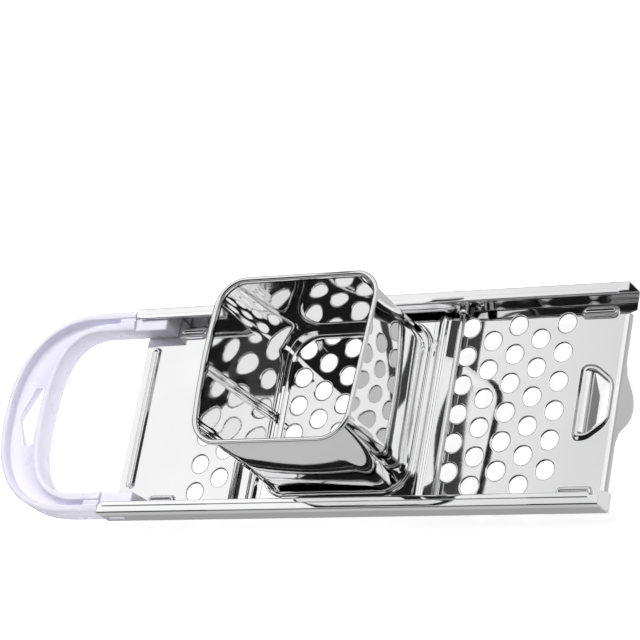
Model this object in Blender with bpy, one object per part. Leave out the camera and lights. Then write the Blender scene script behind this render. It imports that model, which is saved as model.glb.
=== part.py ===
"""Hand-held spaetzle maker: a perforated sheet with folded rails, a D-shaped grip at its left end, and
a dough hopper on a carriage that slides between the rails.

Frame: the origin is the middle of the hole pattern on the underside of the sheet. +X runs towards the
pot hook, -X towards the grip, +Y across the sheet, +Z up out of the hopper. Sizes are in metres.
"""

import math

import bmesh
import bpy

# Driving dimensions
PITCH = 0.0133
HOLE_COLUMNS = 16
HOLE_ROWS = 6
HOLE_DIAMETER = 0.0086
SHEET = 0.0006
GAP = 0.0003

RAIL_LEFT = -0.1295
FLOOR_LEFT = -0.1277
RAIL_RIGHT = 0.1184
HALF_WIDTH = 0.0498
RAIL_HEIGHT = 0.0112
LIP_WIDTH = 0.0055
HEM_WIDTH = 0.0023
HEM_THICKNESS = 0.0005
HEM_LEFT_INSET = 0.0025
HEM_RIGHT_INSET = 0.0045

BEAD_X = -0.1217
BEAD_HALF_LENGTH = 0.0345
BEAD_HALF_WIDTH = 0.0022
BEAD_HEIGHT = 0.0011

STOP_HEIGHT = 0.0014
STOP_WIDTH = 0.0052
STOP_CENTRE_Y = 0.0406
STOP_SPANS = ((-0.1107, -0.0953), (0.0929, 0.1106))

HOOK_X = 0.1021
HOOK_DEPTH = 0.0086
HOOK_LENGTH = 0.0086
HOOK_ROOT_HALF = 0.0139
HOOK_TIP_HALF = 0.0079
TONGUE_TIP_HALF = 0.0059

END_FOLD_X = 0.1152
END_FOLD_HALF = 0.0400
END_FOLD_DEPTH = 0.0020
END_FOLD_LEAN = 0.25
END_TAB_DEPTH = 0.0100
END_TAB_HALF = 0.0136

GRIP_HEIGHT = 0.0112
GRIP_END_X = -0.1931
GRIP_HALF_OUTER = 0.0490
GRIP_HALF_INNER = 0.0392
GRIP_OUTER_POWER = 2.42
GRIP_INNER_POWER = 2.8
GRIP_ARC_X = -0.1440
GRIP_INNER_END_X = -0.1704
GRIP_WALL = 0.0028
GRIP_CHANNEL_DEPTH = 0.0044
GRIP_CHANNEL_STOP_X = -0.1376
HANGING_SLOT_RIGHT_X = -0.1768
HANGING_SLOT_CORNER_X = -0.1812
HANGING_SLOT_BEND_X = -0.1868
HANGING_SLOT_HALF = 0.0141
RAIL_TONGUE_END_X = -0.1115
RAIL_TONGUE_HEIGHT = 0.0090
WINDOW_SPAN = (-0.1268, -0.1180)
WINDOW_Z = 0.0046
WINDOW_RADIUS = 0.0013

CARRIAGE_X = -0.0141
ROD_OFFSET = 0.0509
ROD_RADIUS = 0.00125
ROD_HALF_LENGTH = 0.0470
ROD_Z = 0.0030
COLLAR_RADIUS = 0.0021
COLLAR_SPAN = (0.0422, 0.0472)

HOPPER_TOP_HALF_X = 0.0372
HOPPER_TOP_SHIFT_X = 0.0015
RIM_SKEW = 0.0022
RIM_BOW = 0.0022
HOPPER_TOP_HALF_Y = 0.0366
HOPPER_FOOT_HALF_X = 0.0362
HOPPER_FOOT_HALF_Y = 0.0390
HOPPER_TOP_CORNER = 0.0108
HOPPER_CORNER = 0.0125
HOPPER_WALL = 0.0006
HOPPER_TOP = 0.0606
RIM_RADIUS = 0.0012
LAP_SEAM_Y = -0.0025
LAP_SEAM_HALF = 0.0026
LAP_SEAM_THICKNESS = 0.0006

FRAME_Z = SHEET + GAP
FRAME_SHEET = 0.0005
FRAME_HALF_Y = 0.0466
FRAME_OPENING_HALF_X = 0.0322
FRAME_OPENING_HALF_Y = 0.0345
FRAME_WALL_TOP = 0.0066
FRAME_RIDGE_SPAN = (0.0404, 0.0454)
FRAME_RIDGE_HEIGHT = 0.0011


def clear_scene():
    for old in list(bpy.data.objects):
        bpy.data.objects.remove(old, do_unlink=True)


def make_material(name, colour, roughness, metallic):
    material = bpy.data.materials.new(name)
    material.use_nodes = True
    shader = material.node_tree.nodes["Principled BSDF"]
    shader.inputs["Base Color"].default_value = (*colour, 1.0)
    shader.inputs["Roughness"].default_value = roughness
    shader.inputs["Metallic"].default_value = metallic
    material.diffuse_color = (*colour, 1.0)
    return material


def add_object(name, bm, material=None):
    """Turn a bmesh into a named object with its normals outward and its round faces smooth."""
    bmesh.ops.recalc_face_normals(bm, faces=bm.faces)
    mesh = bpy.data.meshes.new(name)
    bm.to_mesh(mesh)
    bm.free()
    if material:
        mesh.materials.append(material)
    mesh.shade_smooth()
    mesh.set_sharp_from_angle(angle=math.radians(30))
    thing = bpy.data.objects.new(name, mesh)
    bpy.context.scene.collection.objects.link(thing)
    return thing


def hide_cutter(thing):
    thing.hide_render = True
    thing.display_type = "WIRE"
    return thing


def combine(target, other, operation):
    """Cut the other object from the target, or join it on."""
    modifier = target.modifiers.new(f"{operation.lower()}_{other.name}", "BOOLEAN")
    modifier.operation = operation
    modifier.solver = "EXACT"
    modifier.use_self = operation == "UNION"
    modifier.object = hide_cutter(other)


def add_prism(bm, outline, low, high, place):
    """Extrude a 2-D outline from low to high; place turns (u, v, w) into a point."""
    bottom = [bm.verts.new(place(u, v, low)) for u, v in outline]
    top = [bm.verts.new(place(u, v, high)) for u, v in outline]
    bm.faces.new(bottom)
    bm.faces.new(top[::-1])
    for i in range(len(outline)):
        j = (i + 1) % len(outline)
        bm.faces.new((bottom[j], bottom[i], top[i], top[j]))


def upright(u, v, w):
    return (u, v, w)


def along_x(u, v, w):
    return (w, u, v)


def along_y(u, v, w):
    return (u, w, v)


def rectangle(low_u, high_u, low_v, high_v):
    return [(low_u, low_v), (high_u, low_v), (high_u, high_v), (low_u, high_v)]


def regular_polygon(centre_u, centre_v, radius, sides, turn=0.0):
    angles = [turn + 2 * math.pi * i / sides for i in range(sides)]
    return [(centre_u + radius * math.cos(a), centre_v + radius * math.sin(a)) for a in angles]


def stadium(low_u, high_u, centre_v, radius, steps=6):
    """A slot outline with round ends."""
    points = []
    for centre_u, start in ((high_u - radius, -90), (low_u + radius, 90)):
        for i in range(steps + 1):
            angle = math.radians(start + 180 * i / steps)
            points.append((centre_u + radius * math.cos(angle), centre_v + radius * math.sin(angle)))
    return points


def rounded_rectangle(half_u, half_v, radius, centre_u=0.0, centre_v=0.0, steps=6):
    points = []
    corners = ((1, 1, 0), (-1, 1, 90), (-1, -1, 180), (1, -1, 270))
    for side_u, side_v, start in corners:
        middle_u = centre_u + side_u * (half_u - radius)
        middle_v = centre_v + side_v * (half_v - radius)
        for i in range(steps + 1):
            angle = math.radians(start + 90 * i / steps)
            points.append((middle_u + radius * math.cos(angle), middle_v + radius * math.sin(angle)))
    return points


def mirrored(half_outline):
    """Complete an outline given for +v with its mirror image at -v."""
    return half_outline + [(u, -v) for u, v in reversed(half_outline)]


# Perforated sheet with its rails


def rail_section():
    """The folded sheet seen along X: floor, walls, lips and the hem on each lip."""
    lip_inner = HALF_WIDTH - LIP_WIDTH
    half = [
        (HALF_WIDTH, 0.0),
        (HALF_WIDTH, RAIL_HEIGHT),
        (lip_inner, RAIL_HEIGHT),
        (lip_inner, RAIL_HEIGHT - SHEET),
        (HALF_WIDTH - SHEET, RAIL_HEIGHT - SHEET),
        (HALF_WIDTH - SHEET, SHEET),
    ]
    return half + [(-y, z) for y, z in reversed(half)]


def hole_centres():
    middle_column = (HOLE_COLUMNS - 1) / 2
    middle_row = (HOLE_ROWS - 1) / 2
    for column in range(HOLE_COLUMNS):
        x = (column - middle_column) * PITCH * math.sqrt(3) / 2
        shift = 0.25 if column % 2 else -0.25
        for row in range(HOLE_ROWS):
            yield x, (row - middle_row + shift) * PITCH


def hole_cutter():
    bm = bmesh.new()
    for x, y in hole_centres():
        outline = regular_polygon(x, y, HOLE_DIAMETER / 2, 12, math.radians(15))
        add_prism(bm, outline, -SHEET, 2 * SHEET, upright)
    return add_object("hole_cutter", bm)


def sheet_openings_cutter():
    """The hook's opening, the windows for the grip's snap lugs and the notch at the turned-down end."""
    bm = bmesh.new()
    low_x = HOOK_X + SHEET
    hook = mirrored([(low_x, HOOK_ROOT_HALF), (low_x + HOOK_LENGTH, HOOK_TIP_HALF)])
    add_prism(bm, hook, -SHEET, 2 * SHEET, upright)
    for side in (-1, 1):
        wall = sorted((side * (HALF_WIDTH - 2 * SHEET), side * (HALF_WIDTH + SHEET)))
        add_prism(bm, stadium(*WINDOW_SPAN, WINDOW_Z, WINDOW_RADIUS, 4), *wall, along_y)
    right_notch = rectangle(END_FOLD_X, RAIL_RIGHT + SHEET, -END_FOLD_HALF, END_FOLD_HALF)
    add_prism(bm, right_notch, -SHEET, 2 * SHEET, upright)
    wall_inside = HALF_WIDTH - SHEET
    left_notch = rectangle(RAIL_LEFT - SHEET, FLOOR_LEFT, -wall_inside, wall_inside)
    add_prism(bm, left_notch, -SHEET, 2 * SHEET, upright)
    return add_object("sheet_openings_cutter", bm)


def leaning_out(u, v, w):
    """Like along_x, but further out the lower it is."""
    return (w - END_FOLD_LEAN * v, u, v)


def turned_down_parts():
    """The hook tongue, bent square to the sheet, and the leaning end fold with its rounded tab."""
    bm = bmesh.new()
    root = HOOK_ROOT_HALF - GAP
    tip = TONGUE_TIP_HALF
    tongue = [(root, SHEET / 2), (tip, -HOOK_DEPTH), (-tip, -HOOK_DEPTH), (-root, SHEET / 2)]
    add_prism(bm, tongue, HOOK_X, HOOK_X + SHEET, along_x)

    steps = 12
    edge = []
    for i in range(steps + 1):
        across = 2 * i / steps - 1
        swell = (END_TAB_DEPTH - END_FOLD_DEPTH) * (1 - across**2)
        edge.append((END_TAB_HALF * across, -END_FOLD_DEPTH - swell))
    near = [(-END_FOLD_HALF, SHEET / 2), (-END_FOLD_HALF + 0.0025, -END_FOLD_DEPTH)]
    far = [(END_FOLD_HALF - 0.0025, -END_FOLD_DEPTH), (END_FOLD_HALF, SHEET / 2)]
    add_prism(bm, near + edge + far, END_FOLD_X - SHEET, END_FOLD_X, leaning_out)
    return add_object("turned_down_parts", bm)


def raised_parts():
    """The carriage stops, the bead across the left end and the hem along each lip."""
    bm = bmesh.new()
    for low_x, high_x in STOP_SPANS:
        for side in (-1, 1):
            outline = stadium(low_x, high_x, side * STOP_CENTRE_Y, STOP_WIDTH / 2, 5)
            add_prism(bm, outline, SHEET / 2, SHEET + STOP_HEIGHT, upright)
    bead = rounded_rectangle(BEAD_HALF_WIDTH, BEAD_HALF_LENGTH, BEAD_HALF_WIDTH * 0.95, BEAD_X, 0.0, 4)
    add_prism(bm, bead, SHEET / 2, SHEET + BEAD_HEIGHT, upright)
    hem_inner = HALF_WIDTH - LIP_WIDTH
    for side in (-1, 1):
        span = sorted((side * hem_inner, side * (hem_inner + HEM_WIDTH)))
        hem = rectangle(RAIL_LEFT + HEM_LEFT_INSET, RAIL_RIGHT - HEM_RIGHT_INSET, *span)
        add_prism(bm, hem, RAIL_HEIGHT - SHEET / 2, RAIL_HEIGHT + HEM_THICKNESS, upright)
    return add_object("raised_parts", bm)


def build_sheet(material):
    bm = bmesh.new()
    add_prism(bm, rail_section(), RAIL_LEFT, RAIL_RIGHT, along_x)
    sheet = add_object("perforated_sheet", bm, material)
    combine(sheet, sheet_openings_cutter(), "DIFFERENCE")
    combine(sheet, turned_down_parts(), "UNION")
    combine(sheet, raised_parts(), "UNION")
    combine(sheet, hole_cutter(), "DIFFERENCE")
    return sheet


# Grip


def grip_arc(half_width, reach, power, steps):
    """Points from the +Y arm round the closed end of the D to the -Y arm."""
    points = []
    for i in range(steps + 1):
        angle = math.pi * i / steps
        c, s = math.cos(angle), math.sin(angle)
        x = GRIP_ARC_X - reach * abs(s) ** (2 / power)
        y = half_width * math.copysign(abs(c) ** (2 / power), c)
        points.append((x, y))
    return points


def grip_band(shrink, end_x):
    """The D-shaped band between its outer and inner outlines, each moved in by shrink."""
    outer_reach = GRIP_ARC_X - GRIP_END_X - shrink
    inner_reach = GRIP_ARC_X - GRIP_INNER_END_X + shrink
    outer = grip_arc(GRIP_HALF_OUTER - shrink, outer_reach, GRIP_OUTER_POWER, 32)
    inner = grip_arc(GRIP_HALF_INNER + shrink, inner_reach, GRIP_INNER_POWER, 32)
    far = [(end_x, GRIP_HALF_INNER + shrink), (end_x, GRIP_HALF_OUTER - shrink)]
    near = [(x, -y) for x, y in reversed(far)]
    return far + outer + near + inner[::-1]


def tongue_outline():
    """A rail tongue seen along Y, with its end face leaning back."""
    low = SHEET + GAP
    high = low + RAIL_TONGUE_HEIGHT
    root_x = RAIL_LEFT - 0.004
    end_x = RAIL_TONGUE_END_X
    return [(root_x, low), (end_x, low), (end_x - 0.0016, high), (root_x, high)]


def build_grip(material):
    bm = bmesh.new()
    add_prism(bm, grip_band(0.0, RAIL_LEFT - GAP), 0.0, GRIP_HEIGHT, upright)
    grip = add_object("grip", bm, material)

    bm = bmesh.new()
    channel = grip_band(GRIP_WALL, GRIP_CHANNEL_STOP_X)
    add_prism(bm, channel, GRIP_HEIGHT - GRIP_CHANNEL_DEPTH, GRIP_HEIGHT + 0.001, upright)
    combine(grip, add_object("grip_channel_cutter", bm), "DIFFERENCE")

    bm = bmesh.new()
    half_slot = [
        (HANGING_SLOT_RIGHT_X, HANGING_SLOT_HALF - 0.0009),
        (HANGING_SLOT_RIGHT_X - 0.0010, HANGING_SLOT_HALF),
        (HANGING_SLOT_CORNER_X, HANGING_SLOT_HALF),
        (HANGING_SLOT_BEND_X, 0.0006),
    ]
    slot = mirrored(half_slot)
    add_prism(bm, slot, -0.001, GRIP_HEIGHT, upright)
    combine(grip, add_object("hanging_slot_cutter", bm), "DIFFERENCE")

    bm = bmesh.new()
    for side in (-1, 1):
        span = sorted((side * GRIP_HALF_INNER, side * (HALF_WIDTH - SHEET - GAP)))
        add_prism(bm, tongue_outline(), *span, along_y)
    combine(grip, add_object("rail_tongues", bm), "UNION")

    bm = bmesh.new()
    for side in (-1, 1):
        span = sorted((side * (HALF_WIDTH - 3 * SHEET), side * HALF_WIDTH))
        lug = stadium(WINDOW_SPAN[0] + GAP, WINDOW_SPAN[1] - GAP, WINDOW_Z, WINDOW_RADIUS - GAP, 4)
        add_prism(bm, lug, *span, along_y)
    combine(grip, add_object("snap_lugs", bm), "UNION")
    return grip


# Carriage


def build_carriage_frame(material):
    """The base under the hopper: end flanges with a bead, side walls and a ledge round the opening."""
    low = FRAME_Z
    high = FRAME_Z + FRAME_SHEET
    start, stop = FRAME_RIDGE_SPAN
    end = ROD_OFFSET + 0.0005
    half = [
        (start, 0.0),
        (start + 0.0010, FRAME_RIDGE_HEIGHT),
        (stop - 0.0012, FRAME_RIDGE_HEIGHT),
        (stop, 0.0),
        (end, 0.0),
    ]
    top = [(-x, high + z) for x, z in reversed(half)] + [(x, high + z) for x, z in half]
    bottom = [(-x, low + z) for x, z in reversed(half)] + [(x, low + z) for x, z in half]
    outline = [(CARRIAGE_X + x, z) for x, z in bottom + top[::-1]]
    reach = COLLAR_SPAN[0] - GAP
    bm = bmesh.new()
    add_prism(bm, outline, -reach, reach, along_y)
    frame = add_object("carriage_frame", bm, material)

    bm = bmesh.new()
    length = ROD_OFFSET - COLLAR_RADIUS - 0.0032
    for side in (-1, 1):
        strip = sorted((side * (reach - 0.002), side * FRAME_HALF_Y))
        add_prism(bm, rectangle(-length, length, *strip), low, high, shifted)
        wall = sorted((side * (FRAME_HALF_Y - FRAME_SHEET), side * FRAME_HALF_Y))
        top = FRAME_WALL_TOP
        fold = [(-length, low), (length, low), (length - 0.0045, top), (-length + 0.0045, top)]
        add_prism(bm, fold, *wall, shifted_along_y)
    combine(frame, add_object("carriage_side_walls", bm), "UNION")

    bm = bmesh.new()
    collar_x = HOPPER_FOOT_HALF_X + HOPPER_WALL / 2 + GAP + FRAME_SHEET
    collar_y = HOPPER_FOOT_HALF_Y + HOPPER_WALL / 2 + GAP + FRAME_SHEET
    ring = rounded_rectangle(collar_x, collar_y, HOPPER_CORNER + 0.0008)
    add_prism(bm, ring, low, high + 0.0021, shifted)
    combine(frame, add_object("opening_collar", bm), "UNION")

    bm = bmesh.new()
    pocket = rounded_rectangle(collar_x - FRAME_SHEET, collar_y - FRAME_SHEET, HOPPER_CORNER + GAP)
    add_prism(bm, pocket, high, high + 0.0042, shifted)
    combine(frame, add_object("collar_pocket_cutter", bm), "DIFFERENCE")

    bm = bmesh.new()
    opening = rounded_rectangle(FRAME_OPENING_HALF_X, FRAME_OPENING_HALF_Y, HOPPER_CORNER - 0.003)
    add_prism(bm, opening, -0.001, high + 0.0042, shifted)
    combine(frame, add_object("carriage_opening_cutter", bm), "DIFFERENCE")
    return frame


def shifted(u, v, w):
    """Like upright, from the middle of the carriage."""
    return (CARRIAGE_X + u, v, w)


def shifted_along_y(u, v, w):
    return (CARRIAGE_X + u, w, v)


def worn_square(u, v, half_y, up):
    """Push the square section out of true: the front wall skews and the seamed wall bows, more so higher up."""
    across = min(1.0, abs(v) / half_y)
    if u > 0:
        return (u + up * (HOPPER_TOP_SHIFT_X + RIM_SKEW * v / half_y), v)
    return (u + up * (HOPPER_TOP_SHIFT_X - RIM_BOW * (1 - across**2)), v)


def build_hopper(material):
    """A tube of rounded square section with a rolled rim; its near and far walls splay at the foot."""
    foot = FRAME_Z + FRAME_SHEET + GAP
    rim_z = HOPPER_TOP - RIM_RADIUS
    half_wall = HOPPER_WALL / 2
    section = [(half_wall, foot), (half_wall, 0.012), (half_wall, 0.034), (half_wall, rim_z - 0.0012)]
    for i in range(9):
        angle = math.radians(-70 + 250 * i / 8)
        offset = RIM_RADIUS - half_wall + RIM_RADIUS * math.cos(angle)
        section.append((offset, rim_z + RIM_RADIUS * math.sin(angle)))
    section += [(-half_wall, 0.034), (-half_wall, 0.012), (-half_wall, foot)]

    bm = bmesh.new()
    loops = []
    for offset, z in section:
        down = max(0.0, (HOPPER_TOP - z) / (HOPPER_TOP - foot))
        half_x = HOPPER_TOP_HALF_X + (HOPPER_FOOT_HALF_X - HOPPER_TOP_HALF_X) * down + offset
        half_y = HOPPER_TOP_HALF_Y + (HOPPER_FOOT_HALF_Y - HOPPER_TOP_HALF_Y) * down + offset
        corner = HOPPER_TOP_CORNER + (HOPPER_CORNER - HOPPER_TOP_CORNER) * down + offset
        outline = rounded_rectangle(half_x, half_y, corner)
        flat_left = [(-half_x, (half_y - corner) * (1 - i / 2)) for i in range(1, 4)]
        outline = outline[:14] + flat_left + outline[14:]
        loops.append([bm.verts.new(shifted(*worn_square(u, v, half_y, 1 - down), z)) for u, v in outline])
    for i, loop in enumerate(loops):
        following = loops[(i + 1) % len(loops)]
        for j in range(len(loop)):
            k = (j + 1) % len(loop)
            bm.faces.new((loop[j], loop[k], following[k], following[j]))
    hopper = add_object("hopper", bm, material)

    bm = bmesh.new()
    low_z = foot + 0.0004
    top_x = HOPPER_TOP_HALF_X - HOPPER_TOP_SHIFT_X + RIM_BOW
    slope = (top_x - HOPPER_FOOT_HALF_X) / (HOPPER_TOP - foot)
    foot_x = top_x - slope * (HOPPER_TOP - low_z)
    rim_x = top_x - slope * (HOPPER_TOP - rim_z)
    outside = HOPPER_WALL / 3
    inside = half_wall + LAP_SEAM_THICKNESS
    seam = [
        (-foot_x - outside, low_z),
        (-foot_x + inside, low_z),
        (-rim_x + inside, rim_z),
        (-rim_x - outside, rim_z),
    ]
    seam_y = (LAP_SEAM_Y - LAP_SEAM_HALF, LAP_SEAM_Y + LAP_SEAM_HALF)
    add_prism(bm, seam, *seam_y, shifted_along_y)
    combine(hopper, add_object("lap_seam", bm), "UNION")
    return hopper


def build_rod(name, x, material):
    bm = bmesh.new()
    outline = regular_polygon(x, ROD_Z, ROD_RADIUS, 16)
    add_prism(bm, outline, -ROD_HALF_LENGTH, ROD_HALF_LENGTH, along_y)
    return add_object(name, bm, material)


def build_collar(name, x, side, material):
    """A short sleeve round a rod's end."""
    sides = 16
    bore = regular_polygon(x, ROD_Z, ROD_RADIUS + GAP, sides)
    skin = regular_polygon(x, ROD_Z, COLLAR_RADIUS, sides)
    bm = bmesh.new()
    rings = []
    for outline, y in ((skin, COLLAR_SPAN[0]), (skin, COLLAR_SPAN[1]), (bore, COLLAR_SPAN[1]), (bore, COLLAR_SPAN[0])):
        rings.append([bm.verts.new((u, side * y, v)) for u, v in outline])
    for i, ring in enumerate(rings):
        following = rings[(i + 1) % len(rings)]
        for j in range(sides):
            k = (j + 1) % sides
            bm.faces.new((ring[j], ring[k], following[k], following[j]))
    return add_object(name, bm, material)


def main():
    clear_scene()
    polished_steel = make_material("polished_steel", (0.78, 0.78, 0.79), 0.08, 1.0)
    drawn_wire = make_material("drawn_wire", (0.74, 0.74, 0.76), 0.15, 1.0)
    lilac_plastic = make_material("lilac_white_plastic", (0.84, 0.82, 0.92), 0.25, 0.0)

    build_sheet(polished_steel)
    build_grip(lilac_plastic)
    build_carriage_frame(polished_steel)
    build_hopper(polished_steel)
    for end, direction in (("front", 1), ("rear", -1)):
        x = CARRIAGE_X + direction * ROD_OFFSET
        build_rod(f"{end}_rod", x, drawn_wire)
        for edge, side in (("far", 1), ("near", -1)):
            build_collar(f"{end}_{edge}_collar", x, side, drawn_wire)


main()
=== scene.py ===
"""Looks of the spaetzle maker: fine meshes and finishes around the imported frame, a pale floor, soft
studio light and the camera. Units are metres; the frame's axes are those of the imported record."""

import math

import bmesh
import bpy
from mathutils import Matrix, Vector


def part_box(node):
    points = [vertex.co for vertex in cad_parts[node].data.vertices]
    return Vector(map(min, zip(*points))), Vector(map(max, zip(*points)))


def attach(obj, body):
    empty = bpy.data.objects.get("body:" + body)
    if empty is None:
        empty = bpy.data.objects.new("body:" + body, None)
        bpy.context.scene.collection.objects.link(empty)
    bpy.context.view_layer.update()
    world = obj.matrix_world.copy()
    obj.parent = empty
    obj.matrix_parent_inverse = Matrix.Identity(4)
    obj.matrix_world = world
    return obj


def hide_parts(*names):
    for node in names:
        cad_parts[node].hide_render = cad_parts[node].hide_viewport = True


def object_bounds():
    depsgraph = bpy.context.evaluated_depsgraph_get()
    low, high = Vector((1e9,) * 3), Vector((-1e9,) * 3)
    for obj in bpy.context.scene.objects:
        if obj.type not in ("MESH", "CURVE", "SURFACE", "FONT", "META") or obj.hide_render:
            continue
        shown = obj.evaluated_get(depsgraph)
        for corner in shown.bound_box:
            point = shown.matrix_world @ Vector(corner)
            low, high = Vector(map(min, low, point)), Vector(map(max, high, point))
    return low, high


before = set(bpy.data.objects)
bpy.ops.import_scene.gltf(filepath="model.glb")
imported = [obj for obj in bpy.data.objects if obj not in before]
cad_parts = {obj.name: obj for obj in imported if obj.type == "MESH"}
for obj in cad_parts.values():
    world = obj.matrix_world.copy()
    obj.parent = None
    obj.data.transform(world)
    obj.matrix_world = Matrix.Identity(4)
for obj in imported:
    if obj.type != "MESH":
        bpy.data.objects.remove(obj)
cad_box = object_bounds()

# How finely curves are drawn, and how near points have to be to count as one
RAIL_STEPS = 60
BEND_STEPS = 6
HOLE_SIDES = 40
HOLE_RINGS = 6
BAR_SIDES = 32
MERGE_DISTANCE = 0.000001
CUTTER_REACH = 0.001

# The sheet, as in the frame; the boxes of the CAD nodes are read from it
SHEET = 0.0006
GAP = 0.0003
PITCH = 0.0133
HOLE_COLUMNS = 16
HOLE_ROWS = 6
HOLE_RADIUS = 0.0043
HOLE_ROLL = 0.0007
HOLE_DISH = 0.0003
BEND_RADIUS = 0.0012

SHEET_LOW, SHEET_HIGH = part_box("perforated_sheet")
GRIP_LOW, GRIP_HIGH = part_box("grip")
HOPPER_LOW, HOPPER_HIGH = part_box("hopper")
FRAME_LOW, FRAME_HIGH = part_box("carriage_frame")

RAIL_LEFT = SHEET_LOW[0]
RAIL_RIGHT = SHEET_HIGH[0]
HALF_WIDTH = SHEET_HIGH[1]
FLOOR_LEFT = RAIL_LEFT + 0.0018
RAIL_HEIGHT = 0.0112
LIP_WIDTH = 0.0055
HEM_WIDTH = 0.0023
HEM_HEIGHT = 0.0005
HEM_LEFT_INSET = 0.0025
HEM_RIGHT_INSET = 0.0045
HEM_FOLD_RADIUS = 0.00055
HEM_EDGE_RADIUS = 0.0003
LIP_FOLD_REACH = 0.0012
LIP_TOP_REACH = 0.0009
CREST_RADIUS = 0.0005

BEAD_X = -0.1217
BEAD_HALF_LENGTH = 0.0345
BEAD_HALF_WIDTH = 0.0026
BEAD_HEIGHT = 0.0014
STOP_SPANS = ((-0.1107, -0.0953), (0.0929, 0.1106))
STOP_CENTRE_Y = 0.0406
STOP_HALF_WIDTH = 0.0029
STOP_HEIGHT = 0.0014
RIDGE_STEPS = 14
RIDGE_CLIMB = 0.48
RIDGE_DIP = 0.30
RIDGE_DIP_START = 0.52
RIDGE_DIP_RUN = 0.40
RIDGE_TOP_REACH = 0.98
WINDOW_SPAN = (-0.1268, -0.1180)
WINDOW_Z = 0.0046
WINDOW_RADIUS = 0.0013
WINDOW_SURROUND = 0.002

HOOK_X = 0.1021
HOOK_LENGTH = 0.0092
HOOK_DEPTH = 0.0086
HOOK_ROOT_HALF = 0.0139
HOOK_SHORT_HALF = 0.0079
TONGUE_TIP_HALF = 0.0059
TONGUE_LEAD = 0.0011
TONGUE_SEAT = 0.00002
TONGUE_TRIM = 0.0002
TONGUE_BEND_STEPS = 12
TONGUE_DROP_STEPS = 8
TONGUE_COLUMNS = 12
HOOK_FLARE = 0.0038
HOOK_FLARE_LEFT = 0.9
HOOK_FLARE_RIGHT = 0.45
HOOK_FLARE_SIDE = 0.9
HOOK_FLARE_POWER = 1.25
HOOK_BEND = 0.0026
HOOK_KNEE = 0.0012
HOOK_CORNER = 0.0016
HOOK_RIM_HEIGHT = 0.0009
HOOK_RIM_CREST = 0.6
HOOK_RIM_DROP = 0.0018
HOOK_RIM_STEPS = 18

END_FOLD_X = 0.1152
END_FOLD_HALF = 0.0400
END_FOLD_DEPTH = 0.0020
END_FOLD_LEAN = 0.25
END_TAB_DEPTH = 0.0100
END_TAB_HALF = 0.0136
END_ROLL_RUN = 0.0020
END_ROLL_RADIUS = 0.0024
END_ROLL_STEPS = 7
END_DROP_STEPS = 6
END_COLUMNS = 96
END_LEAST_DROP = 0.0002
END_TRIM = 0.00013
END_SHOULDER = 0.0012
END_SHOULDER_AT = 1.05
END_SHOULDER_SPREAD = 0.03
END_NOTCH_RUN = 0.0012
END_NOTCH_STEP = 0.0004
END_CORNER_INSET = 0.0088

CARRIAGE_X = -0.0141
ROD_OFFSET = 0.0509


def new_object(name, bm, material=None, smooth_angle=35):
    """A linked object made from a bmesh, with its round faces shaded smooth."""
    mesh = bpy.data.meshes.new(name)
    bm.to_mesh(mesh)
    bm.free()
    if material:
        mesh.materials.append(material)
    mesh.shade_smooth()
    mesh.set_sharp_from_angle(angle=math.radians(smooth_angle))
    piece = bpy.data.objects.new(name, mesh)
    bpy.context.scene.collection.objects.link(piece)
    return piece


def baked(piece):
    """Apply the modifiers of a piece, so that only its mesh is left."""
    graph = bpy.context.evaluated_depsgraph_get()
    mesh = bpy.data.meshes.new_from_object(piece.evaluated_get(graph))
    old = piece.data
    piece.modifiers.clear()
    piece.data = mesh
    bpy.data.meshes.remove(old)
    return piece


def cut(piece, cutter):
    """Take the cutter's shape out of a piece; the cutter is used up."""
    modifier = piece.modifiers.new("cut", "BOOLEAN")
    modifier.operation = "DIFFERENCE"
    modifier.solver = "EXACT"
    modifier.object = cutter
    baked(piece)
    bpy.data.objects.remove(cutter)
    return piece


def thicken(piece, thickness):
    """Give a surface the thickness of a sheet, half to either side."""
    bm = bmesh.new()
    bm.from_mesh(piece.data)
    bmesh.ops.remove_doubles(bm, verts=bm.verts, dist=MERGE_DISTANCE)
    bm.to_mesh(piece.data)
    bm.free()
    modifier = piece.modifiers.new("thickness", "SOLIDIFY")
    modifier.thickness = thickness
    modifier.offset = 0.0
    modifier.use_even_offset = True
    return baked(piece)


def joined(name, pieces, material, smooth_angle=35):
    """One object from several, which are used up."""
    bm = bmesh.new()
    for piece in pieces:
        bm.from_mesh(piece.data)
        bpy.data.objects.remove(piece)
    return new_object(name, bm, material, smooth_angle)


def grid_surface(bm, rows, closed_u=False):
    """Faces between rows of points of equal length; closed_u joins each row's end to its start."""
    verts = [[bm.verts.new(point) for point in row] for row in rows]
    count = len(rows[0])
    for near, far in zip(verts, verts[1:]):
        for i in range(count if closed_u else count - 1):
            j = (i + 1) % count
            bm.faces.new((near[i], near[j], far[j], far[i]))
    return verts


def strip(name, rows):
    """An open surface through rows of points, to be thickened."""
    bm = bmesh.new()
    grid_surface(bm, rows)
    return new_object(name, bm)


def skin(name, rows, closed_u=True, capped=False, merged=False, material=None):
    """A surface through rows of points with its normals turned outwards."""
    bm = bmesh.new()
    verts = grid_surface(bm, rows, closed_u)
    if capped:
        bm.faces.new(verts[0])
        bm.faces.new(verts[-1])
    if merged:
        bmesh.ops.remove_doubles(bm, verts=bm.verts, dist=MERGE_DISTANCE)
    bmesh.ops.recalc_face_normals(bm, faces=bm.faces)
    return new_object(name, bm, material)


def at_height(outline, z):
    return [(u, v, z) for u, v in outline]


def upright(u, v, w):
    return (u, v, w)


def along_y(u, v, w):
    return (u, w, v)


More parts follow.
